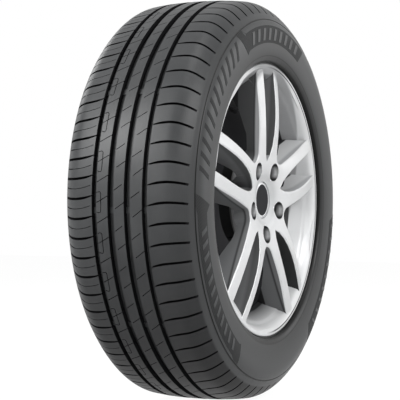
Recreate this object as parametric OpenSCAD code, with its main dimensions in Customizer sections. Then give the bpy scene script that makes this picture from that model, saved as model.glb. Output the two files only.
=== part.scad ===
// A passenger car tyre mounted on its five twin-spoke alloy wheel.
// Millimetres. The axle runs along Y, the street side faces -Y, and the origin is the wheel's centre.

/* [Tyre] */
// Outside diameter of the new tyre, unloaded
tyre_d = 650; // [640:1:660]
// Width over the sidewalls at their widest
tyre_w = 222; // [218:1:228]
// Half of the nearly flat width of the tread
tread_half = 72; // [70:0.5:74]
// Fall of the tread's surface at that place
tread_fall = 4.4; // [3:0.2:6]
// Distance from the tread's middle to the edge of the shoulder
shoulder_y = 100; // [97:0.5:102]
// Fall of the tread's surface at the edge of the shoulder
shoulder_fall = 25; // [23:0.5:28]
// Thickness of the sidewall at its widest
sidewall_t = 7; // [5:0.5:10]
// Thickness under the middle of the tread, grooves included
crown_t = 15; // [13:0.5:18]
// Width of the bead's foot on the rim
bead_w = 19; // [17:0.5:20]
// Radius of the bead's heel
heel_r = 5; // [4:0.5:6]
// Free space between the bead and the rim
bead_gap = 0.2; // [0.1:0.05:0.4]

/* [Tread] */
// Depth of the long grooves
groove_h = 8; // [6:0.5:9]
// Width of the two middle grooves
mid_groove_w = 10.2; // [8:0.2:12]
// Width of the two outer grooves
side_groove_w = 8; // [6:0.2:10]
// Distance of the middle grooves from the tread's middle
mid_groove_y = 13.4; // [12:0.2:15]
// Distance of the outer grooves from the tread's middle
side_groove_y = 41.2; // [39:0.2:43]
// Number of cross slots round each shoulder
pitches = 68; // [40:2:80]
// Width of a shoulder slot
slot_w = 3.4; // [2:0.2:5]
// Depth of the shoulder slots
slot_h = 6; // [4:0.5:6.5]
// Rise of a slot's middle above its two ends
slot_rise = 4; // [2:0.5:6]
// Shift of a slot's outer end along the tread
slot_shift = 2.6; // [0:0.2:5]
// Share of a pitch by which the slots of the inner shoulder lie behind those of the street side
slot_stagger = 0.54; // [0:0.02:1]
// Turn of the tyre on its rim, in degrees
tyre_turn = 1.6; // [0:0.1:5]
// Width of the fine sipes in the ribs
sipe_w = 0.8; // [0.5:0.1:1.2]
// Depth of the fine sipes
sipe_h = 4.5; // [3:0.5:6]
// Number of wear bars in each long groove
wear_bars = 11; // [6:1:12]
// Height of the wear bars
wear_bar_h = 1.6; // [1:0.1:2]
// Radius of the fine line round the sidewall
side_line_r = 290.5; // [286:0.5:293]
// Width of that line
side_line_w = 1.6; // [1:0.2:2.4]
// Depth of that line
side_line_h = 0.8; // [0.6:0.1:1.2]

/* [Rim] */
// Diameter of the bead seats
seat_d = 405.6; // [404:0.2:407]
// Distance between the flanges
rim_w = 177.8; // [172:0.2:182]
// Height of the flanges above the seats
flange_h = 18.4; // [17.3:0.1:18.5]
// Radius of the flange's curl
curl_r = 9.5; // [9:0.1:10]
// Distance from the flange's bead face to the safety hump
hump_y = 24; // [22.5:0.5:26]
// Wall of the barrel
barrel_t = 5.5; // [4.5:0.5:7]
// Depth of the drop centre below the seats
well_h = 19.5; // [17.5:0.5:21]
// Width of the drop centre's floor
well_w = 26; // [22:1:30]
// Depth of the bright front cone behind the lip
cone_depth = 42; // [38:1:44]

/* [Spokes] */
// Distance from a twin spoke's middle line to its outer edges at the hub
spoke_half_hub = 37.5; // [36:0.5:39]
// The same distance at the rim
spoke_half_rim = 43; // [41:0.5:45]
// Half of the gap between the two blades at its widest
gap_half = 21.5; // [19:0.5:23]
// Radius at which the gap between the blades starts
gap_start = 62; // [60:0.5:66]
// How far the blades bow outwards between hub and rim
bow = 6.8; // [4:0.2:8]
// Widening of a blade for each millimetre of depth, on each side
draft = 0.25; // [0.15:0.01:0.3]
// Rounding of the blades' front edges
edge_r = 2.4; // [1:0.2:3]
// Radius of the windows' inner corner
window_r = 16; // [14:0.5:18]
// Thickness of a blade near the hub
blade_t = 23; // [19:1:27]

/* [Hub] */
// Number of bolt holes, one between each two twin spokes
bolts = 5; // [5:1:5]
// Diameter of the circle of bolt holes
bolt_circle_d = 112; // [110:0.5:114]
// Diameter of a bolt hole
bolt_hole_d = 15; // [14:0.1:16]
// Diameter of the pocket over a bolt hole
bolt_pocket_d = 29; // [27:0.5:30]
// Metal under the conical seat of a bolt
bolt_seat_t = 14; // [12:0.5:18]
// Diameter of the bore that fits the car's hub
hub_bore_d = 57.1; // [56.6:0.1:58.1]
// Distance of the hub's mounting face from the wheel's middle plane
offset_y = 45; // [40:1:50]
// Diameter of the mounting pad
pad_d = 150; // [146:1:156]
// Diameter of the pockets in the pad between the bolt holes
pad_pocket_d = 21; // [16:1:24]
// Depth of the pockets in the pad
pad_pocket_h = 9; // [4:1:12]
// Distance from the mounting face to the hub's front face
hub_h = 50.4; // [48:0.5:53]

/* [Centre cap] */
// Diameter of the cap's bright ring
cap_d = 60; // [58:0.5:61]
// Thickness of the cap's plate at its edge
cap_t = 3; // [2:0.2:4]
// Height of the cap's front above its edge
cap_rise = 1.6; // [1:0.1:2]
// Diameter of the dark inlay disc
inlay_d = 50; // [46:0.5:52]
// Thickness of the inlay disc
inlay_t = 1.2; // [0.8:0.1:1.6]
// Free space round the cap and the inlay
cap_gap = 0.2; // [0.1:0.05:0.3]
// Number of clips that hold the cap
clips = 6; // [4:1:8]
// Length of the clips
clip_l = 8; // [7:0.5:10]

/* [Valve] */
// Diameter of the valve hole in the rim
valve_hole_d = 11.3; // [11.1:0.1:11.7]
// Lean of the valve towards the axle
valve_lean = 40; // [36:1:44]
// Wall of the rim at the valve
valve_wall = 3.5; // [2:0.1:4]
// Length of the rubber neck outside the rim
valve_neck_l = 20; // [17:1:24]
// Length of the threaded end beyond the neck
valve_thread_l = 10; // [8:0.5:12]
// Diameter of the threaded end
valve_thread_d = 7.7; // [7.5:0.1:8]

/* [Hidden] */
$fn = 96;

tyre_r = tyre_d / 2;
half_tyre = tyre_w / 2;
seat_r = seat_d / 2;
half_rim = rim_w / 2;
flange_r = seat_r + flange_h;
curl_y = half_rim + curl_r;
lip_y = curl_y + 2.2;
lip_w = 7;
lip_r = flange_r - lip_w;
seat_taper = tan(5);
spokes = bolts;
half_step = 180 / spokes;

// Points of an arc in the (radius, axle) plane, from angle a to angle b
function arc(cr, cy, r, a, b, n = 8) =
    [for (i = [0 : n]) let (t = a + (b - a) * i / n) [cr + r * cos(t), cy + r * sin(t)]];

// A smooth curve from p to e, pulled towards the handles q and s
function curve(p, q, s, e, n = 8) = [for (i = [0 : n]) let (t = i / n, u = 1 - t)
    u * u * u * p + 3 * u * u * t * q + 3 * u * t * t * s + t * t * t * e];

// The same points on the other side of the middle plane, in the opposite order
function mirrored(pts) = [for (i = [len(pts) - 1 : -1 : 0]) [pts[i][0], -pts[i][1]]];

function tail(pts) = [for (i = [1 : len(pts) - 1]) pts[i]];

// Turns what is drawn round the Z axis onto the wheel's axle
module on_axle() rotate([-90, 0, 0]) children();

module ring(profile) rotate_extrude($fn = 180) polygon(profile);

// Tyre: one moulding, from bead to bead

tread_edge = [tyre_r - tread_fall, tread_half];
shoulder_edge = [tyre_r - shoulder_fall, shoulder_y];
wide_r = (tyre_r + seat_r) / 2 - 2;
cushion = [flange_r + 7, half_tyre - 3.5];
crown = concat(
    curve([tyre_r, 0], [tyre_r, tread_half * 0.42], [tyre_r - tread_fall * 0.3, tread_half * 0.72],
          tread_edge, 6),
    tail(curve(tread_edge, [tyre_r - tread_fall * 1.6, tread_half * 0.45 + shoulder_y * 0.52],
               [tyre_r - shoulder_fall * 0.62, shoulder_y - 8], shoulder_edge, 6)));
upper_pull = 0.42 * (shoulder_edge[0] - wide_r);
lower_pull = 0.3 * (wide_r - cushion[0]);
sidewall = concat(
    tail(curve(shoulder_edge, [shoulder_edge[0] - upper_pull, half_tyre - 1], [wide_r + upper_pull, half_tyre],
               [wide_r, half_tyre], 5)),
    tail(curve([wide_r, half_tyre], [wide_r - lower_pull, half_tyre],
               [cushion[0] + 0.7 * lower_pull, half_tyre - 0.5], cushion, 4)),
    tail(curve(cushion, [flange_r + 3, half_tyre - 5], [flange_r + 1.4, curl_y + 4],
               [flange_r + 1.6, curl_y + 0.6], 3)));
bead = concat(
    arc(flange_r - curl_r, curl_y, curl_r + bead_gap, 0, -90, 5),
    arc(seat_r + bead_gap + heel_r, half_rim - bead_gap - heel_r, heel_r, 90, 180, 4),
    [[seat_r + bead_gap - (bead_w - heel_r) * seat_taper, half_rim - bead_w]]);
inside = let (wall_y = half_tyre - sidewall_t, crown_r = tyre_r - crown_t) concat(
    curve([seat_r + 5, half_rim - bead_w - 1], [seat_r + 22, half_rim - bead_w + 6],
          [seat_r + 26, wall_y - 5], [wide_r - 2, wall_y], 7),
    tail(curve([wide_r - 2, wall_y], [wide_r + 0.62 * (crown_r - wide_r), wall_y],
               [crown_r - 1.5, tread_half + 14], [crown_r, tread_half - 26], 7)));
half_section = concat(tail(crown), sidewall, bead, inside);

// Long groove, with wear bars left standing on its floor
module long_groove(y, w) {
    floor_r = tyre_r - groove_h - tread_fall * 0.2 * abs(y) / tread_half;
    slope = 0.12 * groove_h;
    bar_l = 9;
    difference() {
        ring([[floor_r, y - w / 2 + slope], [floor_r, y + w / 2 - slope],
              [tyre_r + 1, y + w / 2], [tyre_r + 1, y - w / 2]]);
        for (i = [0 : wear_bars - 1]) rotate([0, 0, i * 360 / wear_bars])
            translate([floor_r - 2, -bar_l / 2, y - w]) cube([wear_bar_h + 2, bar_l, 2 * w]);
    }
}

// Ring at the shoulder in which the slots are cut. Its inner wall is their floor, which rises to the
// surface at the edge of the shoulder.
slot_start = side_groove_y + side_groove_w / 2 - 1;
slot_ring = [[tyre_r + 2, slot_start], [tyre_r - 1.5 - slot_h, slot_start],
    [tread_edge[0] + 0.8 - slot_h, tread_half - 2],
    [tread_edge[0] - (shoulder_fall - tread_fall) * 0.18 - slot_h, tread_half * 0.57 + shoulder_y * 0.43],
    [shoulder_edge[0] + 0.4, shoulder_y - 0.6],
    [shoulder_edge[0] + 10, shoulder_y + 8], [tyre_r + 2, shoulder_y + 8]];

// Middle line of a slot: distance along the tread, and distance from the middle plane
slot_line = [for (t = [0, 0.14, 0.4, 0.7, 1])
    [slot_rise * 4 * t * (1 - t) + slot_shift * t, slot_start + (shoulder_y + 4 - slot_start) * t]];

module slot(side) {
    n = len(slot_line) - 1;
    function half_w(i) = (i == 0 ? 0.5 : 1) * slot_w / 2;
    outline = concat([for (i = [0 : n]) [slot_line[i][0] * -side - half_w(i), slot_line[i][1] * side]],
                     [for (i = [n : -1 : 0]) [slot_line[i][0] * -side + half_w(i), slot_line[i][1] * side]]);
    translate([tyre_r - shoulder_fall - 9, 0, 0]) rotate([90, 0, 90])
        linear_extrude(shoulder_fall + 14) polygon(outline);
}

module shoulder_slots(side) {
    behind = side > 0 ? slot_stagger : 0;
    intersection() {
        ring([for (p = slot_ring) [p[0], p[1] * side]]);
        for (i = [0 : pitches - 1]) rotate([0, 0, (i + behind) * 360 / pitches]) slot(side);
    }
}

// Fine sipes of the three ribs. Each is given by its start and end: distance along the tread in
// pitches, and place across a rib from 0 to 1. The pattern repeats after two pitches.
middle_rib = [mid_groove_y - mid_groove_w / 2, -mid_groove_y + mid_groove_w / 2];
inner_rib = [side_groove_y - side_groove_w / 2, mid_groove_y + mid_groove_w / 2];
outer_rib = [-inner_rib[1], -inner_rib[0]];
rib_sipes = [
    [inner_rib, [0.17, -0.03], [0.51, 1.03]], [inner_rib, [1.17, -0.03], [1.51, 1.03]],
    [middle_rib, [0.76, -0.03], [1.06, 0.8]], [middle_rib, [1.89, 0.2], [2.19, 1.03]],
    [outer_rib, [0.37, -0.03], [0.71, 0.8]], [outer_rib, [1.48, 0.2], [1.84, 1.03]]];

module sipe(rib, start, end) {
    pitch = 2 * PI * tyre_r / pitches;
    middle = (start[0] + end[0]) / 2;
    function at(p) = [(p[0] - middle) * pitch, rib[0] + p[1] * (rib[1] - rib[0])];
    run = at(end) - at(start);
    rotate([0, 0, middle * 360 / pitches])
        translate([tyre_r - sipe_h - tread_fall / 4, at(start)[0], at(start)[1]])
            rotate([atan2(run[1], run[0]), 0, 0]) translate([0, 0, -sipe_w / 2])
                cube([sipe_h + tread_fall, norm(run), sipe_w]);
}

// Fine line pressed into the sidewall
module sidewall_line(side) {
    floor_y = lookup(side_line_r, concat([shoulder_edge], sidewall)) - side_line_h;
    ring([for (p = [[-0.5, 0], [0.5, 0], [0.5, 4], [-0.5, 4]])
        [side_line_r + p[0] * side_line_w, side * (floor_y + p[1])]]);
}

module tyre() {
    color("dimgray") on_axle() rotate([0, 0, -tyre_turn]) difference() {
        ring(concat(mirrored(half_section), [[tyre_r, 0]], half_section, [[tyre_r - crown_t, 0]]));
        for (side = [-1, 1]) {
            long_groove(side * mid_groove_y, mid_groove_w);
            long_groove(side * side_groove_y, side_groove_w);
            shoulder_slots(side);
            sidewall_line(side);
        }
        for (i = [0 : 2 : pitches - 1]) rotate([0, 0, i * 360 / pitches])
            for (s = rib_sipes) sipe(s[0], s[1], s[2]);
    }
}

// Alloy wheel: one casting of rim, twin spokes and hub

well_r = seat_r - well_h;
well_y = half_rim - hump_y - 20;
cone_y = lip_y - cone_depth;
inner_r = well_r - barrel_t;
seat_end_r = seat_r - (hump_y - heel_r - 3.5) * seat_taper;

// Flange, bead seat and safety hump of one side, from the lip inwards
rim_seat = concat(
    arc(flange_r - curl_r, curl_y, curl_r, 0, -90, 6),
    arc(seat_r + heel_r, half_rim - heel_r, heel_r, 90, 180, 4),
    [[seat_end_r, half_rim - hump_y + 3.5], [seat_end_r + 1.2, half_rim - hump_y + 1],
     [seat_end_r + 1.2, half_rim - hump_y - 1], [seat_end_r - 0.6, half_rim - hump_y - 3.5]]);

// Bright cone behind the lip, from the lip to the drop centre
front_cone = concat([[lip_r + 5, lip_y], [lip_r, lip_y], [lip_r - 2.4, lip_y - 1.6]],
    curve([lip_r - 9, lip_y - 5], [seat_r - 2, half_rim + 0.5], [seat_r - 7, lip_y - 17],
          [seat_r - 10, lip_y - 23], 5),
    [[inner_r + 2.6, cone_y], [inner_r, cone_y - 3]]);

// Plain inner barrel, from the inner flange to the drop centre
back_barrel = [[flange_r - 3, lip_y], [flange_r - 8, lip_y], [seat_r - 1, half_rim + 1],
    [seat_r - barrel_t - 1.5, half_rim - 8], [seat_end_r - barrel_t, half_rim - hump_y - 4],
    [seat_end_r - barrel_t - 3, 14], [inner_r, well_w - well_y - 4]];

module rim() {
    well = [[well_r, -well_y], [well_r, well_w - well_y], [seat_end_r - 3, 12]];
    back_seat = [for (i = [len(rim_seat) - 1 : -1 : 0]) rim_seat[i]];
    front_seat = [for (p = rim_seat) [p[0], -p[1]]];
    ring(concat(front_seat, well, back_seat, back_barrel, mirrored(front_cone)));
}

// Front surface of the spokes, which bows outwards between the hub and the lip
dish_r = 46;
dish_end = lip_r - 1;
hub_y = offset_y + hub_h;
function face_y(r) = let (t = min(1, max(0, (r - dish_r) / (dish_end - dish_r))))
    hub_y + (lip_y - 2 - hub_y) * t + bow * sin(180 * t);

cap_seat_y = hub_y - 10.9;
throat_r = hub_bore_d / 2 - 1.3;

// Back of the blades: radius, and thickness there
blade_back = [[150, blade_t + 11], [115, blade_t], [92, blade_t - 2]];

// Section of the spokes and the hub before the windows are cut
spoke_section = concat(
    [[0, offset_y], [0, cap_seat_y + 4], [cap_d / 2 + 3.5, cap_seat_y + 5.5]],
    [for (i = [0 : 14]) let (r = dish_r + (dish_end - dish_r) * i / 14) [r, face_y(r)]],
    [[dish_end - 3, lip_y - 6], [seat_r - 2, half_rim - 4], [seat_r - 7, lip_y - 25],
     [inner_r + 8, cone_y - 2], [inner_r + 4, cone_y - 4]],
    [for (b = blade_back) [b[0], face_y(b[0]) - b[1]]],
    [[pad_d / 2, offset_y + 18], [pad_d / 2, offset_y]]);

// Radius past the rim at which every cut of a window or a gap ends, and depth of the cuts
cut_end = flange_r + 3;
cut_depth = 62;

// Radii between which a spoke widens from its width at the hub to its width at the rim
widen_from = 60;
widen_to = 170;

// Outline of a window between two twin spokes, drawn towards +X and drawn in by e on every side
function window_edge(s, e) = let (
        share = min(1, (s - widen_from) / (widen_to - widen_from)),
        o = spoke_half_hub + (spoke_half_rim - spoke_half_hub) * share + e)
    [s * cos(half_step) + o * sin(half_step), s * sin(half_step) - o * cos(half_step)];
function window_outline(e) = let (
        r = window_r - 0.5 * e,
        o = spoke_half_hub + e + 0.8,
        c = (o + r) / sin(half_step),
        s0 = c * cos(half_step),
        side = [for (i = [0 : 6]) window_edge(s0 + 4 + (cut_end - s0) * i / 6, e)],
        corner = [for (i = [0 : 6]) let (a = 180 - (90 - half_step) + (90 - half_step) * i / 3)
                      [c + r * cos(a), r * sin(a)]])
    concat(corner, [for (i = [0 : 6]) [side[i][0], -side[i][1]]], [for (i = [6 : -1 : 0]) side[i]]);

// Outline of the gap between the two blades of a spoke, drawn the same way
function gap_outline(e) = let (
        start = gap_start + 0.9 * e,
        s = [for (i = [0 : 8]) start + (cut_end - start) * pow(i / 8, 1.3)],
        h = [for (r = s) let (t = (r - start) / 100)
                 max(0.6, (gap_half + 0.3) * sin(90 * min(1, pow(max(t, 0), 0.62))) - e * min(1, 4 * t))])
    concat([for (i = [0 : 8]) [s[i], -h[i]]], [for (i = [8 : -1 : 0]) [s[i], h[i]]]);

// Solid that cuts an opening with rounded front edges and drafted walls. Each layer is one outline,
// given with its depth below the spokes' front surface.
module opening_cut(layers, depths) {
    n = len(layers[0]);
    k = len(layers);
    function at(p, d) = [p[0], p[1], -(face_y(norm(p)) - d)];
    function centre(pts) = [for (j = [0, 1]) (pts[0][j] + pts[floor(n / 2)][j]) / 2];
    points = concat([for (j = [0 : k - 1]) for (p = layers[j]) at(p, depths[j])],
                    [at(centre(layers[0]), depths[0]), at(centre(layers[k - 1]), depths[k - 1])]);
    faces = concat(
        [for (j = [0 : k - 2]) for (i = [0 : n - 1]) let (a = j * n + i, b = j * n + (i + 1) % n)
            each [[a, b + n, b], [a, a + n, b + n]]],
        [for (i = [0 : n - 1]) [k * n, i, (i + 1) % n]],
        [for (i = [0 : n - 1]) let (m = (k - 1) * n) [k * n + 1, m + (i + 1) % n, m + i]]);
    polyhedron(points, faces);
}

round_steps = [0, 35, 65, 90];
cut_depths = concat([-8], [for (a = round_steps) edge_r * (1 - cos(a))], [cut_depth]);
cut_insets = concat([-edge_r], [for (a = round_steps) -edge_r * (1 - sin(a))], [draft * cut_depth]);

module bolt_cuts() {
    for (i = [0 : bolts - 1]) rotate([0, 0, half_step * (2 * i + 1) - 90]) translate([bolt_circle_d / 2, 0, 0]) {
        translate([0, 0, -lip_y - 20]) cylinder(d = bolt_pocket_d, h = lip_y + 20 - offset_y - bolt_seat_t - 7);
        translate([0, 0, -offset_y - bolt_seat_t - 7.01])
            cylinder(d1 = bolt_hole_d + 8, d2 = bolt_hole_d, h = 7.01);
        translate([0, 0, -lip_y]) cylinder(d = bolt_hole_d, h = lip_y);
    }
}

module hub_cuts() {
    translate([0, 0, -lip_y - 20]) cylinder(r = cap_d / 2 + cap_gap, h = lip_y + 20 - cap_seat_y);
    translate([0, 0, -lip_y]) cylinder(r = throat_r, h = lip_y);
    translate([0, 0, -cap_seat_y + 3.5]) cylinder(d = hub_bore_d + 2, h = clip_l - 2);
    translate([0, 0, -cap_seat_y + 3.5]) cylinder(d = hub_bore_d, h = lip_y);
    translate([0, 0, -offset_y - 2]) cylinder(d1 = hub_bore_d, d2 = hub_bore_d + 4.2, h = 2.1);
    for (i = [0 : bolts - 1]) rotate([0, 0, 2 * half_step * i - 90]) translate([bolt_circle_d / 2, 0, 0])
        translate([0, 0, -offset_y - pad_pocket_h]) cylinder(d = pad_pocket_d, h = pad_pocket_h + 1);
}

module alloy_wheel() {
    color("silver") on_axle() difference() {
        union() {
            rim();
            difference() {
                ring([for (p = spoke_section) [p[0], -p[1]]]);
                for (i = [0 : spokes - 1]) rotate([0, 0, 2 * half_step * i - 90]) {
                    rotate([0, 0, half_step])
                        opening_cut([for (e = cut_insets) window_outline(e)], cut_depths);
                    opening_cut([for (e = cut_insets) gap_outline(e)], cut_depths);
                }
            }
        }
        bolt_cuts();
        hub_cuts();
        valve_place() valve_cuts();
    }
}

// Centre cap and its inlay

module centre_cap() {
    edge_y = -cap_seat_y - cap_t;
    front_y = edge_y - cap_rise;
    clip_r = throat_r - 0.5;
    clip_space = 8;
    color("gainsboro") on_axle() {
        ring([[0, -cap_seat_y], [0, front_y + inlay_t + 0.4], [inlay_d / 2 + cap_gap, front_y + inlay_t + 0.4],
              [inlay_d / 2 + cap_gap, front_y + 0.4], [inlay_d / 2 + 1, front_y],
              [cap_d / 2 - 0.6, edge_y], [cap_d / 2, edge_y + 0.6], [cap_d / 2, -cap_seat_y]]);
        difference() {
            ring([[clip_r - 2.5, -cap_seat_y - 0.1], [clip_r, -cap_seat_y - 0.1], [clip_r, -cap_seat_y + 3.8],
                  [clip_r + 1.2, -cap_seat_y + 4.4], [clip_r, -cap_seat_y + clip_l],
                  [clip_r - 2.5, -cap_seat_y + clip_l]]);
            for (i = [0 : clips - 1]) rotate([0, 0, i * 360 / clips])
                translate([0, -clip_space / 2, -cap_seat_y]) cube([clip_r + 4, clip_space, clip_l + 1]);
        }
    }
}

module cap_inlay() {
    color("#26282b") on_axle() translate([0, 0, -cap_seat_y - cap_t - cap_rise + 0.4])
        cylinder(d = inlay_d, h = inlay_t);
}

// Snap-in valve, in the window where the photograph does not show it

valve_seat = [(inner_r + 2.6 + seat_r - 10) / 2 + 3.6, (cone_y + lip_y - 23) / 2 - 3.6];
module valve_place() {
    rotate([0, 0, half_step - 90 - 2 * half_step]) translate([valve_seat[0], 0, -valve_seat[1]])
        rotate([0, 180 + valve_lean, 0]) children();
}

// Flat seats on both sides of the rim's wall round the valve hole
outer_seat_d = 20;
inner_seat_d = 23;
seat_h = 25;

module valve_cuts() {
    translate([0, 0, -valve_wall - seat_h]) cylinder(d = valve_hole_d, h = valve_wall + 2 * seat_h);
    cylinder(d = outer_seat_d, h = seat_h);
    translate([0, 0, -valve_wall - seat_h]) cylinder(d = inner_seat_d, h = seat_h);
}

neck_top = valve_neck_l + valve_thread_l;

module valve_stem() {
    hole_r = valve_hole_d / 2 - 0.1;
    color("#1c1c1e") on_axle() valve_place() ring([[1.6, -valve_wall - 9], [6.5, -valve_wall - 9],
        [9, -valve_wall - 3.5], [9.2, -valve_wall - 0.1], [hole_r, -valve_wall - 0.1], [hole_r, 0.1],
        [7.6, 0.1], [7.4, 3], [5.6, 7], [4.6, valve_neck_l - 1], [4.4, valve_neck_l],
        [valve_thread_d / 2, valve_neck_l], [valve_thread_d / 2, neck_top - 0.5],
        [valve_thread_d / 2 - 0.5, neck_top], [2.7, neck_top], [2.7, 8], [1.6, 7]]);
}

module valve_core() {
    color("goldenrod") on_axle() valve_place() ring([[0, 9], [1.4, 9], [1.4, 13], [2.6, 15],
        [2.6, neck_top - 2], [0.6, neck_top - 2], [0.6, neck_top - 0.3], [0, neck_top - 0.3]]);
}

module valve_cap() {
    r = valve_thread_d / 2 + 0.1;
    color("#141416") on_axle() valve_place() {
        ring([[r, valve_neck_l + 0.3], [r + 1, valve_neck_l + 0.3], [r + 1, neck_top + 1.2],
              [r + 0.2, neck_top + 2], [0, neck_top + 2], [0, neck_top + 0.4], [r, neck_top + 0.4]]);
        for (i = [0 : 11]) rotate([0, 0, 30 * i]) translate([r + 0.6, -0.5, valve_neck_l + 0.8])
            cube([0.8, 1, valve_thread_l]);
    }
}

tyre();
alloy_wheel();
centre_cap();
cap_inlay();
valve_stem();
valve_core();
valve_cap();
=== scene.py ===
import math

import bmesh
import bpy
from mathutils import Matrix, Vector


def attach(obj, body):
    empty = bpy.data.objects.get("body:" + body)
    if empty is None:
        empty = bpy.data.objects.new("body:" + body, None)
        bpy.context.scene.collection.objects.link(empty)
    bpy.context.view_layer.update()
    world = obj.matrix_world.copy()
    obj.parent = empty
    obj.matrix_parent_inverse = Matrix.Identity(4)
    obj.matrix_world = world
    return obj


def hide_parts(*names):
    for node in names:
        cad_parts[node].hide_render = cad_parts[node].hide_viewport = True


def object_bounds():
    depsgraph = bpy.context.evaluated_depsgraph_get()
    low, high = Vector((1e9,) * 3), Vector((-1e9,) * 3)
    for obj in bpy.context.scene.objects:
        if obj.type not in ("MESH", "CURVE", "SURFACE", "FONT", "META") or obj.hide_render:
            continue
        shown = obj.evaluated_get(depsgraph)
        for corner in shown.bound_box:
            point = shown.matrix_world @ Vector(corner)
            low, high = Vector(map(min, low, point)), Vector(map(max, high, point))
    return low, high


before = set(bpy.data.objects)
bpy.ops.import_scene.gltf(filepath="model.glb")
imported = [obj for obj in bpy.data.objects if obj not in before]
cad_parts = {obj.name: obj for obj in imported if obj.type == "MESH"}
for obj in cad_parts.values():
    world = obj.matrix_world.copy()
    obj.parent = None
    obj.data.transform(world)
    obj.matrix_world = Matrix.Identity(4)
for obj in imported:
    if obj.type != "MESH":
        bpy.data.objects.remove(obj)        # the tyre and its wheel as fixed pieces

# The axle runs along Y and the street side faces -Y. Sizes in the dictionaries are millimetres.
mm = 0.001
bandStep = 0.314    # metres from band to band of a wave texture at a scale of 1
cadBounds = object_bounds()


def curve(p, q, s, e, steps):    # smooth run of points from p to e, pulled towards q and s
    run = []
    for i in range(steps + 1):
        t = i / steps
        u = 1 - t
        run.append(tuple(u**3 * a + 3 * u * u * t * b + 3 * u * t * t * c + t**3 * d
                         for a, b, c, d in zip(p, q, s, e)))
    return run


def arc(centre, r, start, end, steps):
    turns = [math.radians(start + (end - start) * i / steps) for i in range(steps + 1)]
    return [(centre[0] + r * math.cos(t), centre[1] + r * math.sin(t)) for t in turns]


def heightAt(profile, place):    # straight reading between the points of a profile, by its second value
    for (r0, y0), (r1, y1) in zip(profile, profile[1:]):
        if y0 <= place <= y1:
            return r0 + (r1 - r0) * (place - y0) / max(y1 - y0, 1e-9)
    return profile[-1][0]


def newPiece(name, bm, materials, crease=35, toMetres=True):    # ends a bmesh as an object on the frame
    if toMetres:
        bmesh.ops.scale(bm, vec=(mm, mm, mm), verts=bm.verts)
    for face in bm.faces:
        face.smooth = True
    limit = math.radians(crease)
    for edge in bm.edges:
        edge.smooth = len(edge.link_faces) != 2 or edge.calc_face_angle(0) < limit
    mesh = bpy.data.meshes.new(name)
    bm.to_mesh(mesh)
    bm.free()
    piece = bpy.data.objects.new(name, mesh)
    bpy.context.scene.collection.objects.link(piece)
    for material in materials:
        mesh.materials.append(material)
    return piece


# Materials

def blankMaterial(name, colour, roughness, metallic=0.0):
    material = bpy.data.materials.new(name)
    material.use_nodes = True
    shader = material.node_tree.nodes["Principled BSDF"]
    shader.inputs["Base Color"].default_value = (*colour, 1)
    shader.inputs["Roughness"].default_value = roughness
    shader.inputs["Metallic"].default_value = metallic
    return material, material.node_tree, shader


def addNode(tree, kind, **values):
    node = tree.nodes.new(kind)
    for key, value in values.items():
        if hasattr(node, key):
            setattr(node, key, value)
        else:
            node.inputs[key].default_value = value
    return node


def noiseOf(tree, scale, detail=3.0):
    place = addNode(tree, "ShaderNodeTexCoord")
    noise = addNode(tree, "ShaderNodeTexNoise", Scale=scale, Detail=detail)
    tree.links.new(place.outputs["Object"], noise.inputs["Vector"])
    return noise


def spread(tree, source, low, high, lowAt=0.3, highAt=0.7):    # turns a 0 to 1 value into a range
    reach = addNode(tree, "ShaderNodeMapRange")
    for name, value in (("From Min", lowAt), ("From Max", highAt), ("To Min", low), ("To Max", high)):
        reach.inputs[name].default_value = value
    tree.links.new(source, reach.inputs["Value"])
    return reach.outputs["Result"]


def addBump(tree, shader, height, strength, distance):
    bump = addNode(tree, "ShaderNodeBump", Strength=strength, Distance=distance)
    tree.links.new(height, bump.inputs["Height"])
    tree.links.new(bump.outputs["Normal"], shader.inputs["Normal"])


def radiusOf(tree):    # distance from the axle
    place = addNode(tree, "ShaderNodeTexCoord")
    flat = addNode(tree, "ShaderNodeMapping")
    flat.inputs["Scale"].default_value = (1, 0, 1)
    length = addNode(tree, "ShaderNodeVectorMath", operation="LENGTH")
    tree.links.new(place.outputs["Object"], flat.inputs["Vector"])
    tree.links.new(flat.outputs["Vector"], length.inputs[0])
    return length.outputs["Value"]


def placeOf(tree, axis="Y"):    # along the axle, smallest on the street side, unless another axis is named
    place = addNode(tree, "ShaderNodeTexCoord")
    parts = addNode(tree, "ShaderNodeSeparateXYZ")
    tree.links.new(place.outputs["Object"], parts.inputs["Vector"])
    return parts.outputs[axis]


def ringMark(tree, at, half):    # 1 on a thin ring round the axle, 0 beside it
    off = addNode(tree, "ShaderNodeMath", operation="SUBTRACT")
    off.inputs[1].default_value = at * mm
    size = addNode(tree, "ShaderNodeMath", operation="ABSOLUTE")
    tree.links.new(radiusOf(tree), off.inputs[0])
    tree.links.new(off.outputs["Value"], size.inputs[0])
    return spread(tree, size.outputs["Value"], 1, 0, half * 0.6 * mm, half * mm)


def toneAt(tree, shader, mark, colour):    # lays a tone over the base colour where the mark is 1
    before = shader.inputs["Base Color"].links[0].from_socket
    over = addNode(tree, "ShaderNodeMix", data_type="RGBA")
    over.inputs["B"].default_value = (*colour, 1)
    tree.links.new(mark, over.inputs["Factor"])
    tree.links.new(before, over.inputs["A"])
    tree.links.new(over.outputs["Result"], shader.inputs["Base Color"])


def toneBetween(tree, shader, first, second, share):    # base colour between two tones
    tones = addNode(tree, "ShaderNodeMix", data_type="RGBA")
    tones.inputs["A"].default_value = (*first, 1)
    tones.inputs["B"].default_value = (*second, 1)
    tree.links.new(share, tones.inputs["Factor"])
    tree.links.new(tones.outputs["Result"], shader.inputs["Base Color"])


def product(tree, first, second):    # of two marks: 1 only where both are 1
    times = addNode(tree, "ShaderNodeMath", operation="MULTIPLY")
    tree.links.new(first, times.inputs[0])
    tree.links.new(second, times.inputs[1])
    return times.outputs["Value"]


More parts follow.
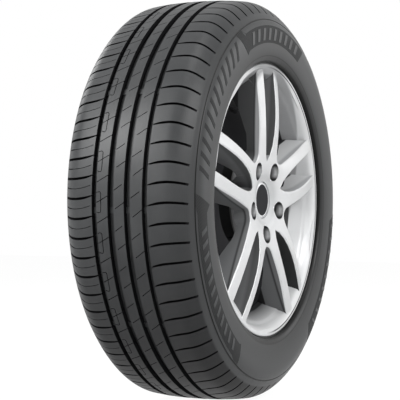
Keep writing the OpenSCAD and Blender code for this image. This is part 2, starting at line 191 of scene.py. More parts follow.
def sumWith(tree, source, share, other):    # source times share plus other
    whole = addNode(tree, "ShaderNodeMath", operation="MULTIPLY_ADD")
    whole.inputs[1].default_value = share
    tree.links.new(source, whole.inputs[0])
    tree.links.new(other, whole.inputs[2])
    return whole.outputs["Value"]


def between(tree, source, ends, first=0, second=1):    # spread over a range in millimetres
    return spread(tree, source, first, second, ends[0] * mm, ends[1] * mm)


def bandsOf(tree, axis, gap, **values):    # fine lines across an axis, the gap in millimetres
    return addNode(tree, "ShaderNodeTexWave", wave_type="BANDS", bands_direction=axis,
                   Scale=bandStep / (gap * mm) / 2, **values)


rubberLook = {    # marks are rings at a radius, with half their width
    "tread": (0.034, 0.035, 0.036), "treadDark": (0.024, 0.025, 0.026), "side": (0.034, 0.035, 0.036),
    # the groove tone is painted shade in the recesses
    # the hatch tone is partly painted shade between its fine lines
    "groove": (0.006, 0.006, 0.0065), "hatchShaded": (0.014, 0.0145, 0.015), "edgeR": (299, 302),
    # the marks are painted shade in the sunk band line and in the gap between tyre and rim, with a thin dark
    # ring at 232.5
    "marks": ((290.5, 1.3), (232.5, 0.9), (223.2, 2.4)), "mark": (0.003, 0.003, 0.003),
    # painted shade on the sidewall, darker towards the rim
    "rimShade": (0.022, 0.0225, 0.023), "rimShadeTo": (228, 268),
    # painted shadow in the gap between tyre and rim, on the lower left only
    "gapShadeAt": (228, 6), "gapShadeX": (0, 80), "gapShadeZ": (-60, 0),
    # painted shade on the tread, darker towards the bottom
    "lowTreadShade": (0.005, 0.005, 0.0055), "lowShadeFrom": (-290, -40), "patches": 14,
    "treadRough": 0.42, "sideRough": 0.38, "grooveRough": 0.7, "hatchRough": 0.6,
    "shine": 0.17, "grooveShine": 0.03, "hatchShine": 0.16,
    "lineGap": 0.9, "lineWaver": 0.6, "hatchGap": 1.3, "hatchTurn": 35, "grain": 900,
}


def rubberMaterial():
    look = rubberLook
    material, tree, shader = blankMaterial("tyreRubber", look["tread"], look["treadRough"])
    shader.inputs["Specular IOR Level"].default_value = look["shine"]
    radius = radiusOf(tree)
    across, height = placeOf(tree, "X"), placeOf(tree, "Z")
    onTread = between(tree, radius, look["edgeR"])
    patches = noiseOf(tree, look["patches"])
    toneBetween(tree, shader, look["treadDark"], look["tread"], spread(tree, patches.outputs["Fac"], 0, 1))
    toneAt(tree, shader, between(tree, radius, look["edgeR"], 1, 0), look["side"])
    # painted shade: the sidewall darker towards the rim
    toneAt(tree, shader, between(tree, radius, look["rimShadeTo"], 1, 0), look["rimShade"])
    # painted shade: dark rings in the band line and in the gap at the rim, and a thin one at 232.5
    for at, half in look["marks"]:
        toneAt(tree, shader, ringMark(tree, at, half), look["mark"])
    # painted shadow in the gap between tyre and rim, on the lower left only
    corner = product(tree, between(tree, across, look["gapShadeX"], 1, 0),
                     between(tree, height, look["gapShadeZ"], 1, 0))
    toneAt(tree, shader, product(tree, ringMark(tree, *look["gapShadeAt"]), corner), look["mark"])
    # painted shade: the tread darker towards the bottom
    low = product(tree, onTread, between(tree, height, look["lowShadeFrom"], 1, 0))
    toneAt(tree, shader, low, look["lowTreadShade"])
    rough = spread(tree, onTread, look["sideRough"], look["treadRough"], 0, 1)
    tree.links.new(rough, shader.inputs["Roughness"])
    lines = bandsOf(tree, "Y", look["lineGap"], Distortion=look["lineWaver"])
    lines.inputs["Detail Scale"].default_value = 40
    place = addNode(tree, "ShaderNodeTexCoord")
    tree.links.new(place.outputs["Object"], lines.inputs["Vector"])
    grain = noiseOf(tree, look["grain"])
    ribs = product(tree, lines.outputs["Fac"], onTread)
    addBump(tree, shader, sumWith(tree, ribs, 1, grain.outputs["Fac"]), 0.25, 0.1 * mm)
    return material


def hatchMaterial():    # dull rubber with fine slanted lines, its dark colour partly painted shade between the lines
    look = rubberLook
    material, tree, shader = blankMaterial("hatchedRubber", look["hatchShaded"], look["hatchRough"])
    shader.inputs["Specular IOR Level"].default_value = look["hatchShine"]
    place = addNode(tree, "ShaderNodeTexCoord")
    turned = addNode(tree, "ShaderNodeMapping")
    turned.inputs["Rotation"].default_value = (0, math.radians(look["hatchTurn"]), 0)
    lines = bandsOf(tree, "X", look["hatchGap"])
    tree.links.new(place.outputs["Object"], turned.inputs["Vector"])
    tree.links.new(turned.outputs["Vector"], lines.inputs["Vector"])
    addBump(tree, shader, lines.outputs["Fac"], 0.5, 0.25 * mm)
    return material


def grooveShadeMaterial():    # dull rubber inside grooves, slots and sipes, darkened as painted shade in the recesses
    look = rubberLook
    material, tree, shader = blankMaterial("grooveShadeRubber", look["groove"], look["grooveRough"])
    shader.inputs["Specular IOR Level"].default_value = look["grooveShine"]
    grain = noiseOf(tree, look["grain"])
    addBump(tree, shader, grain.outputs["Fac"], 0.15, 0.05 * mm)
    return material


def roughOver(tree, shader, noise, roughness, share):    # lets the roughness waver by a share of itself
    waver = spread(tree, noise.outputs["Fac"], roughness * (1 - share), roughness * (1 + share))
    tree.links.new(waver, shader.inputs["Roughness"])


def silverMaterial(name, colour, roughness, metallic):
    material, tree, shader = blankMaterial(name, colour, roughness, metallic)
    flakes = noiseOf(tree, 2500, 2)
    cloud = noiseOf(tree, 25, 2)
    roughOver(tree, shader, cloud, roughness, 0.12)
    shader.inputs["Coat Weight"].default_value = silverLook["coat"]
    shader.inputs["Coat Roughness"].default_value = silverLook["coatRough"]
    addBump(tree, shader, flakes.outputs["Fac"], 0.12, 0.02 * mm)
    return material


silverLook = {    # tones, and the places in millimetres at which they start and end
    "face": (0.5, 0.505, 0.51), "roughness": 0.5, "metallic": 0.3, "dark": (0.006, 0.006, 0.0065),
    # painted shade inside the dish: the cone tone deeper in, the low and high tones, and black past the deep
    # end
    "cone": (0.4, 0.405, 0.41), "coneShadeFrom": (-97.5, -93), "endShadeAt": (-63.4, -62.6),
    "low": (0.05, 0.052, 0.054), "lowAt": (-84, -62), "lowShadeSide": (-130, -50),
    "high": (0.19, 0.193, 0.197), "highShadeLean": 0.16, "highAt": (-69, -66.5),
    # painted shade lines: a ring at the lip's inner edge on the right, and the flange's lower outer side
    "line": (0.03, 0.031, 0.033), "shadeLineAt": (215.2, 1.5), "shadeLineFrom": (-10, 30),
    "edgeShadeAt": (221.6, 1.6), "edgeShadeZ": (-60, -10),
    # flank tones are painted light and shade: lit and shaded copies of one silver, a dark fold line and a
    # wall dark deep in
    "flankRough": 0.5, "flankMetal": 0.2, "flankShine": 0.25, "wallShadeEnd": (-69, -67.5), "highLightFrom": (-20, 50),
    "foldLean": 0.03, "fold": (-91.2, -88.5, -85.8), "foldShade": (0.015, 0.0155, 0.016),
    "shade": (0.02, 0.0205, 0.021), "shadeX": (10, 40), "shadeZ": (-70, -30),
    "flankShadeTones": ((0.12, 0.122, 0.125), (0.1, 0.102, 0.105)),
    "highLightAndShade": ((0.26, 0.265, 0.27), (0.04, 0.041, 0.042)),
    "litUpperTones": ((0.27, 0.275, 0.28), (0.42, 0.425, 0.43)),
    "gapShadeTones": ((0.06, 0.061, 0.062), (0.11, 0.112, 0.115)),
    # the pocket tones are painted shade and a painted highlight
    "pocket": (0.02, 0.0205, 0.021), "pocketLit": (0.9, 0.91, 0.92), "pocketAt": (-102.5, -92.5, -84),
    # the barrel tone is painted shade, nearly black
    "pocketLean": (0.25, 0.75), "barrel": (0.008, 0.008, 0.009), "barrelRough": 0.6, "barrelShine": 0.06,
    "cap": (0.62, 0.63, 0.64), "capRough": 0.22, "capMetal": 0.4, "coat": 0.12, "coatRough": 0.08,
}


def lacquerMaterial():    # bright on the faces and the lip, toned inside the cone as in the photo
    # the tones laid over the face inside the cone are painted shade
    look = silverLook
    material = silverMaterial("silverLacquer", look["face"], look["roughness"], look["metallic"])
    tree = material.node_tree
    shader = tree.nodes["Principled BSDF"]
    across, depth, height = placeOf(tree, "X"), placeOf(tree), placeOf(tree, "Z")
    # painted shade on the cone, deeper in and low down
    low = product(tree, between(tree, depth, look["lowAt"]), between(tree, height, look["lowShadeSide"], 1, 0))
    # painted shade deep in the cone, reaching further out towards the top
    high = between(tree, sumWith(tree, height, look["highShadeLean"], depth), look["highAt"])
    # painted shade: a dark ring at the lip's inner edge, on the right side only
    line = product(tree, ringMark(tree, *look["shadeLineAt"]), between(tree, across, look["shadeLineFrom"]))
    # painted shade on the flange's outer side, on its lower part
    edge = product(tree, ringMark(tree, *look["edgeShadeAt"]), between(tree, height, look["edgeShadeZ"], 1, 0))
    # painted shade: the cone darker deeper in
    toneBetween(tree, shader, look["face"], look["cone"], between(tree, depth, look["coneShadeFrom"]))
    toneAt(tree, shader, low, look["low"])
    toneAt(tree, shader, high, look["high"])
    toneAt(tree, shader, line, look["line"])
    toneAt(tree, shader, edge, look["dark"])
    # painted shade: black past the dish's deep end, by the barrel
    toneAt(tree, shader, between(tree, depth, look["endShadeAt"]), look["dark"])
    return material


def flankMaterial(name, tones, highLightAndShade, folded):    # blade sides in painted light and shade: a band by the face, a dark fold line, the wall, lighter high up and dark deep in
    look = silverLook
    material, tree, shader = blankMaterial(name, tones[0], look["flankRough"], look["flankMetal"])
    shader.inputs["Specular IOR Level"].default_value = look["flankShine"]
    depth, height = placeOf(tree), placeOf(tree, "Z")
    level = sumWith(tree, radiusOf(tree), look["foldLean"], depth)
    start, middle, end = look["fold"]
    inner = between(tree, level, (start, end))
    # painted light higher up on the flanks
    high = between(tree, height, look["highLightFrom"])
    toneBetween(tree, shader, tones[0], tones[1], inner)
    toneAt(tree, shader, product(tree, high, between(tree, level, (start, end), 1, 0)), highLightAndShade[0])
    toneAt(tree, shader, product(tree, high, inner), highLightAndShade[1])
    if folded:
        # painted shade: a dark line at the fold
        rise = between(tree, level, (start, middle))
        toneAt(tree, shader, product(tree, rise, between(tree, level, (middle, end), 1, 0)), look["foldShade"])
    else:
        right = between(tree, placeOf(tree, "X"), look["shadeX"])
        toneAt(tree, shader, product(tree, right, between(tree, height, look["shadeZ"], 1, 0)), look["shade"])
    # painted shade: the wall dark deep in
    toneAt(tree, shader, between(tree, depth, look["wallShadeEnd"]), look["dark"])
    grain = noiseOf(tree, 1800)
    addBump(tree, shader, grain.outputs["Fac"], 0.15, 0.03 * mm)
    return material


def pocketMaterial():    # bolt pockets: painted shade at the rim, the floor and above, and a painted highlight on the walls between, strongest where they face sideways
    look = silverLook
    material, tree, shader = blankMaterial("boltPocket", look["pocket"], 0.3, 0.3)
    start, middle, end = look["pocketAt"]
    depth = placeOf(tree)
    lit = product(tree, between(tree, depth, (start, middle)), between(tree, depth, (middle, end), 1, 0))
    facing = addNode(tree, "ShaderNodeNewGeometry")
    parts = addNode(tree, "ShaderNodeSeparateXYZ")
    size = addNode(tree, "ShaderNodeMath", operation="ABSOLUTE")
    tree.links.new(facing.outputs["Normal"], parts.inputs["Vector"])
    tree.links.new(parts.outputs["Z"], size.inputs[0])
    # painted highlight, strongest where the walls face sideways
    lit = product(tree, lit, spread(tree, size.outputs["Value"], 1, 0, *look["pocketLean"]))
    toneBetween(tree, shader, look["pocket"], look["pocketLit"], lit)
    grain = noiseOf(tree, 1500)
    addBump(tree, shader, grain.outputs["Fac"], 0.15, 0.03 * mm)
    return material


def barrelShadeMaterial():    # nearly black inside the barrel, painted shade
    material, tree, shader = blankMaterial("shadedBarrel", silverLook["barrel"], silverLook["barrelRough"])
    shader.inputs["Specular IOR Level"].default_value = silverLook["barrelShine"]
    noise = noiseOf(tree, 600)
    addBump(tree, shader, noise.outputs["Fac"], 0.2, 0.05 * mm)
    return material


smallFinishes = {    # colour, roughness, metallic, grain's scale and depth in millimetres, shine
    "darkInlay": ((0.016, 0.0165, 0.018), 0.5, 0.0, 1500, 0.02, 0.03),
    "valveRubber": ((0.008, 0.008, 0.0085), 0.7, 0.0, 1200, 0.05, 0.05),
    "turnedBrass": ((0.72, 0.53, 0.25), 0.3, 1.0, 1800, 0.02, 0.5),
    "blackPlastic": ((0.008, 0.008, 0.0085), 0.65, 0.0, 1400, 0.04, 0.05),
}


def smallMaterial(name):
    colour, roughness, metallic, grain, depth, shine = smallFinishes[name]
    material, tree, shader = blankMaterial(name, colour, roughness, metallic)
    shader.inputs["Specular IOR Level"].default_value = shine
    noise = noiseOf(tree, grain)
    roughOver(tree, shader, noise, roughness, 0.15)
    addBump(tree, shader, noise.outputs["Fac"], 0.2, depth * mm)
    return material


rubber = rubberMaterial()
hatched = hatchMaterial()
grooveShadeRubber = grooveShadeMaterial()
lacquer, barrel, shadedFlank, boltPocket, litUpperFlank, shadedGapFlank = range(6)    # places in wheelFinishes
wheelFinishes = [
    lacquerMaterial(), barrelShadeMaterial(),
    # the three flank finishes are copies of one silver with painted light and shade
    flankMaterial("shadedFlank", silverLook["flankShadeTones"], silverLook["highLightAndShade"], True),
    pocketMaterial(),
    flankMaterial("litUpperFlank", silverLook["litUpperTones"], silverLook["litUpperTones"], False),
    flankMaterial("shadedGapFlank", silverLook["gapShadeTones"], silverLook["gapShadeTones"], False),
]
capLacquer = silverMaterial("capLacquer", silverLook["cap"], silverLook["capRough"], silverLook["capMetal"])
print("materials made")


# Tyre: two pitches of the tread are cut flat, bent round the axle and repeated, then the sidewalls,
# beads and lining are drawn down from the tread's edges

tyreSizes = {
    "outsideR": 325, "halfWidth": 111, "treadHalf": 72, "treadFall": 4.4, "shoulderY": 100,
    "shoulderFall": 25, "seatR": 202.8, "flangeR": 221.2, "curlR": 9.5, "curlY": 98.4, "halfRim": 88.9,
    "heelR": 5, "beadGap": 0.2, "beadW": 19, "sidewallT": 7, "crownT": 15,
    "bandR": 290.5, "bandLine": 0.8, "bandDepth": 0.7,
    "pitches": 68, "turnedBy": 1.63, "columns": 8,
}
treadSizes = {    # grooves are place, width and depth; runs are place of start and end, and steps
    "midGroove": (13.4, 10.2, 7.9), "sideGroove": (41.2, 8, 7.3), "grooveSlope": 1.0,
    "slotW": 3.8, "slotH": 6.3, "slotRise": 4, "slotShift": 2.6, "slotRun": (43.5, 101, 14),
    "innerShift": 16.2, "thinW": 0.9, "thinH": 2, "thinRun": (47.5, 98, 12),
    "sipeW": 1.1, "sipeH": 4.5, "bracketH": 3.8,
    "blockH": 14, "blockEnd": 8, "cutterL": 120, "cutterMid": 30, "above": 4, "buried": 10,
    "rows": (0, 8, 24, 33, 50, 60, 67, 72, 76, 80, 84, 87.5, 90.5, 93, 95.5, 97.5),
}
pitchTurns = range(-2, 5)    # copies of a slot along the flat unit, a pitch apart
unitTurns = range(-1, 3)     # copies of a sipe, a unit apart


# (radius, distance from the middle plane), from the shoulder's edge round the bead to the crown inside.
# The points that pull a curve are set from a few driving sizes
def tyreProfile(t):
    wide = (t["outsideR"] + t["seatR"]) / 2 - 2
    half, flange = t["halfWidth"], t["flangeR"]
    edge = (t["outsideR"] - t["shoulderFall"], t["shoulderY"])
    cushion = (flange + 7, half - 3.5)
    side = curve(edge, (edge[0] - 16, half - 1), (wide + 16, half), (wide, half), 16)
    band = [i for i, p in enumerate(side) if p[0] > t["bandR"]][-1] + 1
    bandY = heightAt([(y, r) for r, y in reversed(side)], t["bandR"])
    line, deep = t["bandLine"], t["bandDepth"]
    side[band:band] = [(t["bandR"] + line, bandY - 0.25), (t["bandR"] + line * 0.6, bandY - deep),
                       (t["bandR"] - line * 0.6, bandY - deep + 0.2), (t["bandR"] - line, bandY + 0.3)]
    side += curve((wide, half), (wide - 10, half), (flange + 14, half - 0.5), cushion, 9)[1:]
    side += curve(cushion, (flange + 3, half - 5), (flange + 1.4, t["curlY"] + 4),
                  (flange + 1.6, t["curlY"] + 0.6), 5)[1:]
    gap = t["beadGap"]
    bead = arc((flange - t["curlR"], t["curlY"]), t["curlR"] + gap, 0, -90, 6)
    bead += arc((t["seatR"] + gap + t["heelR"], t["halfRim"] - gap - t["heelR"]), t["heelR"], 90, 180, 4)
    toe = t["halfRim"] - t["beadW"]
    bead += [(t["seatR"] + gap - 1.2, toe)]
    wall, crown = half - t["sidewallT"], t["outsideR"] - t["crownT"]
    inside = curve((t["seatR"] + 5, toe - 1), (t["seatR"] + 22, toe + 6), (t["seatR"] + 26, wall - 5),
                   (wide - 2, wall), 4)
    inside += curve((wide - 2, wall), (wide + 30, wall), (crown - 1.5, t["treadHalf"] + 14),
                    (crown, t["treadHalf"] - 26), 4)[1:]
    return side + bead + inside


def crownProfile(t):    # the same for the tread, from the middle to the shoulder's edge
    edge = (t["outsideR"] - t["treadFall"], t["treadHalf"])
    shoulder = (t["outsideR"] - t["shoulderFall"], t["shoulderY"])
    crown = curve((t["outsideR"], 0), (t["outsideR"], t["treadHalf"] * 0.42),
                  (t["outsideR"] - t["treadFall"] * 0.3, t["treadHalf"] * 0.72), edge, 12)
    out = (t["outsideR"] - t["treadFall"] * 1.6, t["treadHalf"] * 0.45 + t["shoulderY"] * 0.52)
    down = (t["outsideR"] - t["shoulderFall"] * 0.62, t["shoulderY"] - 8)
    return crown + curve(edge, out, down, shoulder, 24)[1:]


def cutRibbon(bm, line, width, floor):    # closed cutter along a line; width and floor may be lists
    count = len(line)
    grid = bmesh.ops.create_grid(bm, x_segments=1, y_segments=count - 1, size=0.5)["verts"]
    grid.sort(key=lambda v: (round(v.co.y, 4), v.co.x))
    for i, (x, y) in enumerate(line):
        before, after = line[max(i - 1, 0)], line[min(i + 1, count - 1)]
        along = Vector((after[0] - before[0], after[1] - before[1])).normalized()
        half = (width[i] if isinstance(width, list) else width) / 2
        deep = floor[i] if isinstance(floor, list) else floor
        grid[2 * i].co = Vector((x + along.y * half, y - along.x * half, -deep))
        grid[2 * i + 1].co = Vector((x - along.y * half, y + along.x * half, -deep))
    faces = list({face for v in grid for face in v.link_faces})
    made = bmesh.ops.extrude_face_region(bm, geom=faces, use_keep_orig=True)["geom"]
    for v in [v for v in made if isinstance(v, bmesh.types.BMVert)]:
        v.co.z = treadSizes["above"]


def grooveCutters(s):
    bm = bmesh.new()
    slope = s["grooveSlope"]
    for side in (-1, 1):
        for place, width, depth in (s["midGroove"], s["sideGroove"]):
            cube = bmesh.ops.create_cube(bm, size=1)["verts"]
            bmesh.ops.scale(bm, vec=(s["cutterL"], width + slope, depth + s["above"]), verts=cube)
            bmesh.ops.translate(bm, vec=(s["cutterMid"], side * place, (s["above"] - depth) / 2), verts=cube)
            low = [v for v in cube if v.co.z < 0]
            bmesh.ops.scale(bm, vec=(1, (width - 2 * slope) / (width + slope), 1), verts=low,
                            space=Matrix.Translation((0, -side * place, 0)))
    return bm


def slotLine(s, side, run):    # middle line of a shoulder slot, as (along, across)
    start, end, steps = run
    line = []
    for i in range(steps + 1):
        t = i / steps
        bend = s["slotRise"] * 4 * t * (1 - t) + s["slotShift"] * t
        line.append((bend * side, side * (start + (end - start) * t)))
    return line


def slotFloor(s, line):    # full depth on the tread, rising to the surface at the shoulder's edge
    return [s["slotH"] * min(1, max(-0.08, (98 - abs(y)) / 6)) for x, y in line]


def slotCutters(s, pitch):    # narrow at the groove, full width after four steps
    bm = bmesh.new()
    for side, shift in ((-1, 0.0), (1, -s["innerShift"])):
        line = slotLine(s, side, s["slotRun"])
        widths = [s["slotW"] * (0.45 + 0.55 * min(1, i / 4)) for i in range(len(line))]
        for turn in pitchTurns:
            moved = [(x + shift + turn * pitch, y) for x, y in line]
            cutRibbon(bm, moved, widths, slotFloor(s, line))
    return bm


def thinCutters(s, pitch):    # sipes between the inner shoulder's slots, shallow and wide at the edge
    bm = bmesh.new()
    line = slotLine(s, 1, s["thinRun"])
    widths = [s["thinW"] * (1 if i < 9 else 2) for i in range(len(line))]
    floors = [s["thinH"] * min(1, (99 - abs(y)) / 12) + 0.1 for x, y in line]
    for turn in pitchTurns:
        cutRibbon(bm, [(x - s["innerShift"] + (turn + 0.5) * pitch, y) for x, y in line], widths, floors)
    return bm


# Sipes of the three ribs: where each starts and ends, as (along, across), within two pitches
ribSipes = {
    "rib1": [[(-5.1, 37.6), (-15.4, 18.1)], [(-35.1, 37.6), (-45.4, 18.1)]],
    "rib2": [[(-22.7, 8.8), (-31.7, -4.9)], [(3.3, 5.3), (-5.7, -8.6)]],
    "rib3": [[(-11.1, -18.2), (-21.4, -33.5)], [(-44.5, -22.5), (-55.3, -37.6)]],
}
bracket = {"middle": -6.0, "half": 15.5, "edge": 37.6, "reach": 29.6, "round": 3.2, "flare": 1.5}


def sipeCutters(s, period):
    bm = bmesh.new()
    for lines in ribSipes.values():
        for line in lines:
            for turn in unitTurns:
                cutRibbon(bm, [(x + turn * period, y) for x, y in line], s["sipeW"], s["sipeH"])
    return bm


def bracketCutters(s, period):    # sipe shaped like a bracket, round at its corners
    bm = bmesh.new()
    b = bracket
    corner = b["reach"] + b["round"]
    line = [(b["flare"] - b["half"], b["edge"])]
    line += [(-b["half"] + b["round"] * (1 - math.sin(a)), corner - b["round"] * math.cos(a))
             for a in (1.4, 0.9, 0.45, 0.0)]
    other = [(-x, y) for x, y in reversed(line)]
    for turn in unitTurns:
        moved = [(x + b["middle"] + turn * period, y) for x, y in line + other]
        cutRibbon(bm, moved, s["sipeW"], s["bracketH"])
    return bm


def booleanCut(bm, cutter, name):    # cuts one bmesh with another
    bmesh.ops.recalc_face_normals(cutter, faces=cutter.faces)
    pair = []
    for label, each in ((name + "Body", bm), (name + "Cutter", cutter)):
        mesh = bpy.data.meshes.new(label)
        each.to_mesh(mesh)
        each.free()
        pair.append(bpy.data.objects.new(label, mesh))
        bpy.context.scene.collection.objects.link(pair[-1])
    body, tool = pair
    change = body.modifiers.new("cut", "BOOLEAN")
    change.operation = "DIFFERENCE"
    change.solver = "EXACT"
    change.object = tool
    bpy.context.view_layer.update()
    result = bmesh.new()
    result.from_mesh(body.evaluated_get(bpy.context.evaluated_depsgraph_get()).to_mesh())
    for each in pair:
        mesh = each.data
        bpy.data.objects.remove(each)
        bpy.data.meshes.remove(mesh)
    return result


def allOf(bm):
    return bm.verts[:] + bm.edges[:] + bm.faces[:]


def flatTread(t, s, period):    # one unit of the tread, x along, y across and z above the crown
    bm = bmesh.new()
    cube = bmesh.ops.create_cube(bm, size=1)["verts"]
    bmesh.ops.scale(bm, vec=(period + 2 * s["blockEnd"], 2 * t["shoulderY"], s["blockH"]), verts=cube)
    bmesh.ops.translate(bm, vec=(period / 2, 0, -s["blockH"] / 2), verts=cube)
    for name, cutter in (("groove", grooveCutters(s)), ("slot", slotCutters(s, period / 2)),
                         ("thin", thinCutters(s, period / 2)), ("sipe", sipeCutters(s, period)),
                         ("bracket", bracketCutters(s, period))):
        bm = booleanCut(bm, cutter, name)
    for i in range(t["columns"] + 1):
        place = i * (period / t["columns"])
        bmesh.ops.bisect_plane(bm, geom=allOf(bm), plane_co=(place, 0, 0), plane_no=(1, 0, 0),
                               clear_inner=i == 0, clear_outer=i == t["columns"])
    for y in s["rows"]:
        for place in {y, -y}:
            bmesh.ops.bisect_plane(bm, geom=allOf(bm), plane_co=(0, place, 0), plane_no=(0, 1, 0))
    buried = []
    for face in bm.faces:
        middle = face.calc_center_median()
        longFloor = face.normal.z > 0.9 and middle.z < -s["slotH"] - 0.6
        # faces inside the cuts take the groove rubber, painted shade; the long grooves' floors keep the tread
        # colour
        face.material_index = 1 if middle.z < -0.02 and not longFloor else 0
        if middle.z < -s["buried"] or abs(middle.y) > t["shoulderY"] - 0.01:
            buried.append(face)
    bmesh.ops.delete(bm, geom=buried, context="FACES")
    bmesh.ops.remove_doubles(bm, verts=bm.verts, dist=0.01)
    return bm


def bendTread(bm, t, period):    # from flat to round: x becomes the angle and z is added to the radius
    crown = crownProfile(t)
    units = t["pitches"] // 2
    for v in bm.verts:
        turn = math.radians(180 + t["turnedBy"]) + v.co.x / period * 2 * math.pi / units
        r = heightAt(crown, abs(v.co.y)) + v.co.z
        v.co = Vector((r * math.cos(turn), v.co.y, r * math.sin(turn)))
    step = 2 * math.pi / units
    bmesh.ops.spin(bm, geom=allOf(bm), cent=(0, 0, 0), axis=(0, -1, 0), dvec=(0, 0, 0),
                   angle=step * (units - 1), steps=units - 1, use_duplicate=True)
    bmesh.ops.remove_doubles(bm, verts=bm.verts, dist=0.02)


def drawDown(bm, edges, points, side):    # draws a ring of edges along the section, one ring a point
    for (r0, y0), (r1, y1) in zip(points, points[1:]):
        made = bmesh.ops.extrude_edge_only(bm, edges=edges)["geom"]
        verts = [g for g in made if isinstance(g, bmesh.types.BMVert)]
        edges = [g for g in made if isinstance(g, bmesh.types.BMEdge)]
        bmesh.ops.scale(bm, vec=(r1 / r0, 1, r1 / r0), verts=verts)
        bmesh.ops.translate(bm, vec=(0, side * (y1 - y0), 0), verts=verts)
    return edges


def makeTyre():
    t, s = tyreSizes, treadSizes
    period = 2 * math.pi * t["outsideR"] / t["pitches"] * 2
    bm = flatTread(t, s, period)
    print("tread unit:", len(bm.faces), "faces")
    bendTread(bm, t, period)
    rims = [e for e in bm.edges if e.is_boundary]
    shoulders = [[e for e in rims if all(abs(v.co.y - side * t["shoulderY"]) < 0.05 for v in e.verts)]
                 for side in (-1, 1)]
    slivers = set(rims) - set(shoulders[0]) - set(shoulders[1])    # a corner that only one unit has
    bmesh.ops.holes_fill(bm, edges=list(slivers), sides=4)
    ends = []
    for side, edges in zip((-1, 1), shoulders):
        ends += drawDown(bm, edges, tyreProfile(t), side)
    bmesh.ops.bridge_loops(bm, edges=ends)    # the lining under the crown
    bmesh.ops.recalc_face_normals(bm, faces=bm.faces)
    shoulderR = t["outsideR"] - t["shoulderFall"]
    for face in bm.faces:
        middle = face.calc_center_median()
        if abs(middle.y) > t["shoulderY"] or math.hypot(middle.x, middle.z) < shoulderR - 0.5:
            face.material_index = 0
    print("tyre:", len(bm.faces), "faces, open edges:", len([e for e in bm.edges if len(e.link_faces) != 2]))
    piece = newPiece("tyreDressed", bm, [rubber, grooveShadeRubber])
    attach(piece, "root")
    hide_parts("tyre")


makeTyre()
print("tyre made")


# Relief on the street side's sidewall: hatched panels and plain slanted bars.
# Each column is (angle and radius at the inner edge, angle and radius at the outer edge), in degrees and mm

reliefPlan = {
    "upperPanel": [(66.5, 253, 63, 281), (113.5, 253, 114, 281), (114.5, 252, 116, 289),
                   (115.5, 249, 120, 289)],
    "leftPanel": [(181.5, 252, 178.2, 289), (184, 262, 182, 289), (185, 262, 184.5, 286),
                  (235, 262, 235, 286), (237, 262, 237.5, 289), (238, 259, 240.5, 289)],
    "rightPanel": [(306, 262, 302, 289.3), (352, 262, 355, 289.3)],
}
barPlan = {    # first and last angle, how many, inner and outer radius, width and lean in degrees
    "upperBars": (70, 109, 9, 257.5, 276.5, 2.0, -1.6),
    "leftBars": (188, 231, 12, 265.5, 281, 1.5, 1.6),
    "rightBars": (309, 349, 9, 266, 284, 1.3, 1.6),
}
darkBars = (124, 172, 12, 257, 284, 1.5, -2.2)    # the same values
reliefSizes = {"panelLift": 0.35, "barLift": 0.8, "sunk": 0.5, "turnStep": 2.0, "radialSteps": 5,
               "fromFlange": 7.5, "wallPoints": 30}


def wallLine(t, z):    # (distance from the middle plane, radius) of the sidewall, by growing radius
    wall = [(y, r) for r, y in tyreProfile(t)[:z["wallPoints"]] if r > t["flangeR"] + z["fromFlange"]]
    return sorted(wall, key=lambda p: p[1])


def addStrip(bm, wall, columns, lift):    # closed plate that hugs the sidewall
    z = reliefSizes
    rows = []
    for first, second in zip(columns, columns[1:]):
        steps = max(1, round(abs(second[2] - first[2]) / z["turnStep"]))
        rows += [[a + (b - a) * i / steps for a, b in zip(first, second)] for i in range(steps)]
    rows.append(list(columns[-1]))
    made = bmesh.ops.create_grid(bm, x_segments=z["radialSteps"], y_segments=len(rows) - 1, size=0.5)["verts"]
    made.sort(key=lambda v: (round(v.co.y, 5), v.co.x))
    per = z["radialSteps"] + 1
    faces = list({face for v in made for face in v.link_faces})
    lower = bmesh.ops.extrude_face_region(bm, geom=faces, use_keep_orig=True)["geom"]
    lower = [v for v in lower if isinstance(v, bmesh.types.BMVert)]
    lower.sort(key=lambda v: (round(v.co.y, 5), v.co.x))
    for verts, out in ((made, lift), (lower, -z["sunk"])):
        for i, v in enumerate(verts):
            inTurn, inR, outTurn, outR = rows[i // per]
            share = (i % per) / z["radialSteps"]
            turn, r = math.radians(inTurn + (outTurn - inTurn) * share), inR + (outR - inR) * share
            y = heightAt(wall, r)
            slope = (heightAt(wall, r + 1) - heightAt(wall, r - 1)) / 2
            away = math.hypot(1, slope)
            r, y = r - slope / away * out, y + out / away
            v.co = Vector((r * math.cos(turn), -y, r * math.sin(turn)))


def barColumns(plan):
    first, last, count, inner, outer, width, lean = plan
    for i in range(count):
        turn = first + (last - first) * i / (count - 1)
        yield [(turn, inner, turn + lean, outer), (turn + width, inner, turn + lean + width, outer)]


def finishRelief(name, bm, material):
    bmesh.ops.recalc_face_normals(bm, faces=bm.faces)
    piece = newPiece(name, bm, [material])
    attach(piece, "root")


def makeRelief():
    wall = wallLine(tyreSizes, reliefSizes)
    panels, light, dark = bmesh.new(), bmesh.new(), bmesh.new()
    for columns in reliefPlan.values():
        addStrip(panels, wall, columns, reliefSizes["panelLift"])
    for plan in barPlan.values():
        for columns in barColumns(plan):
            addStrip(light, wall, columns, reliefSizes["barLift"])
    for columns in barColumns(darkBars):
        addStrip(dark, wall, columns, reliefSizes["panelLift"])
    finishRelief("sidewallPanels", panels, hatched)
    finishRelief("panelBars", light, rubber)
    finishRelief("sidewallBars", dark, hatched)


makeRelief()


wearPlan = {"count": 11, "length": 9.0, "height": 1.6, "sunk": 1, "overlap": 0.6, "firstAt": 182.7}


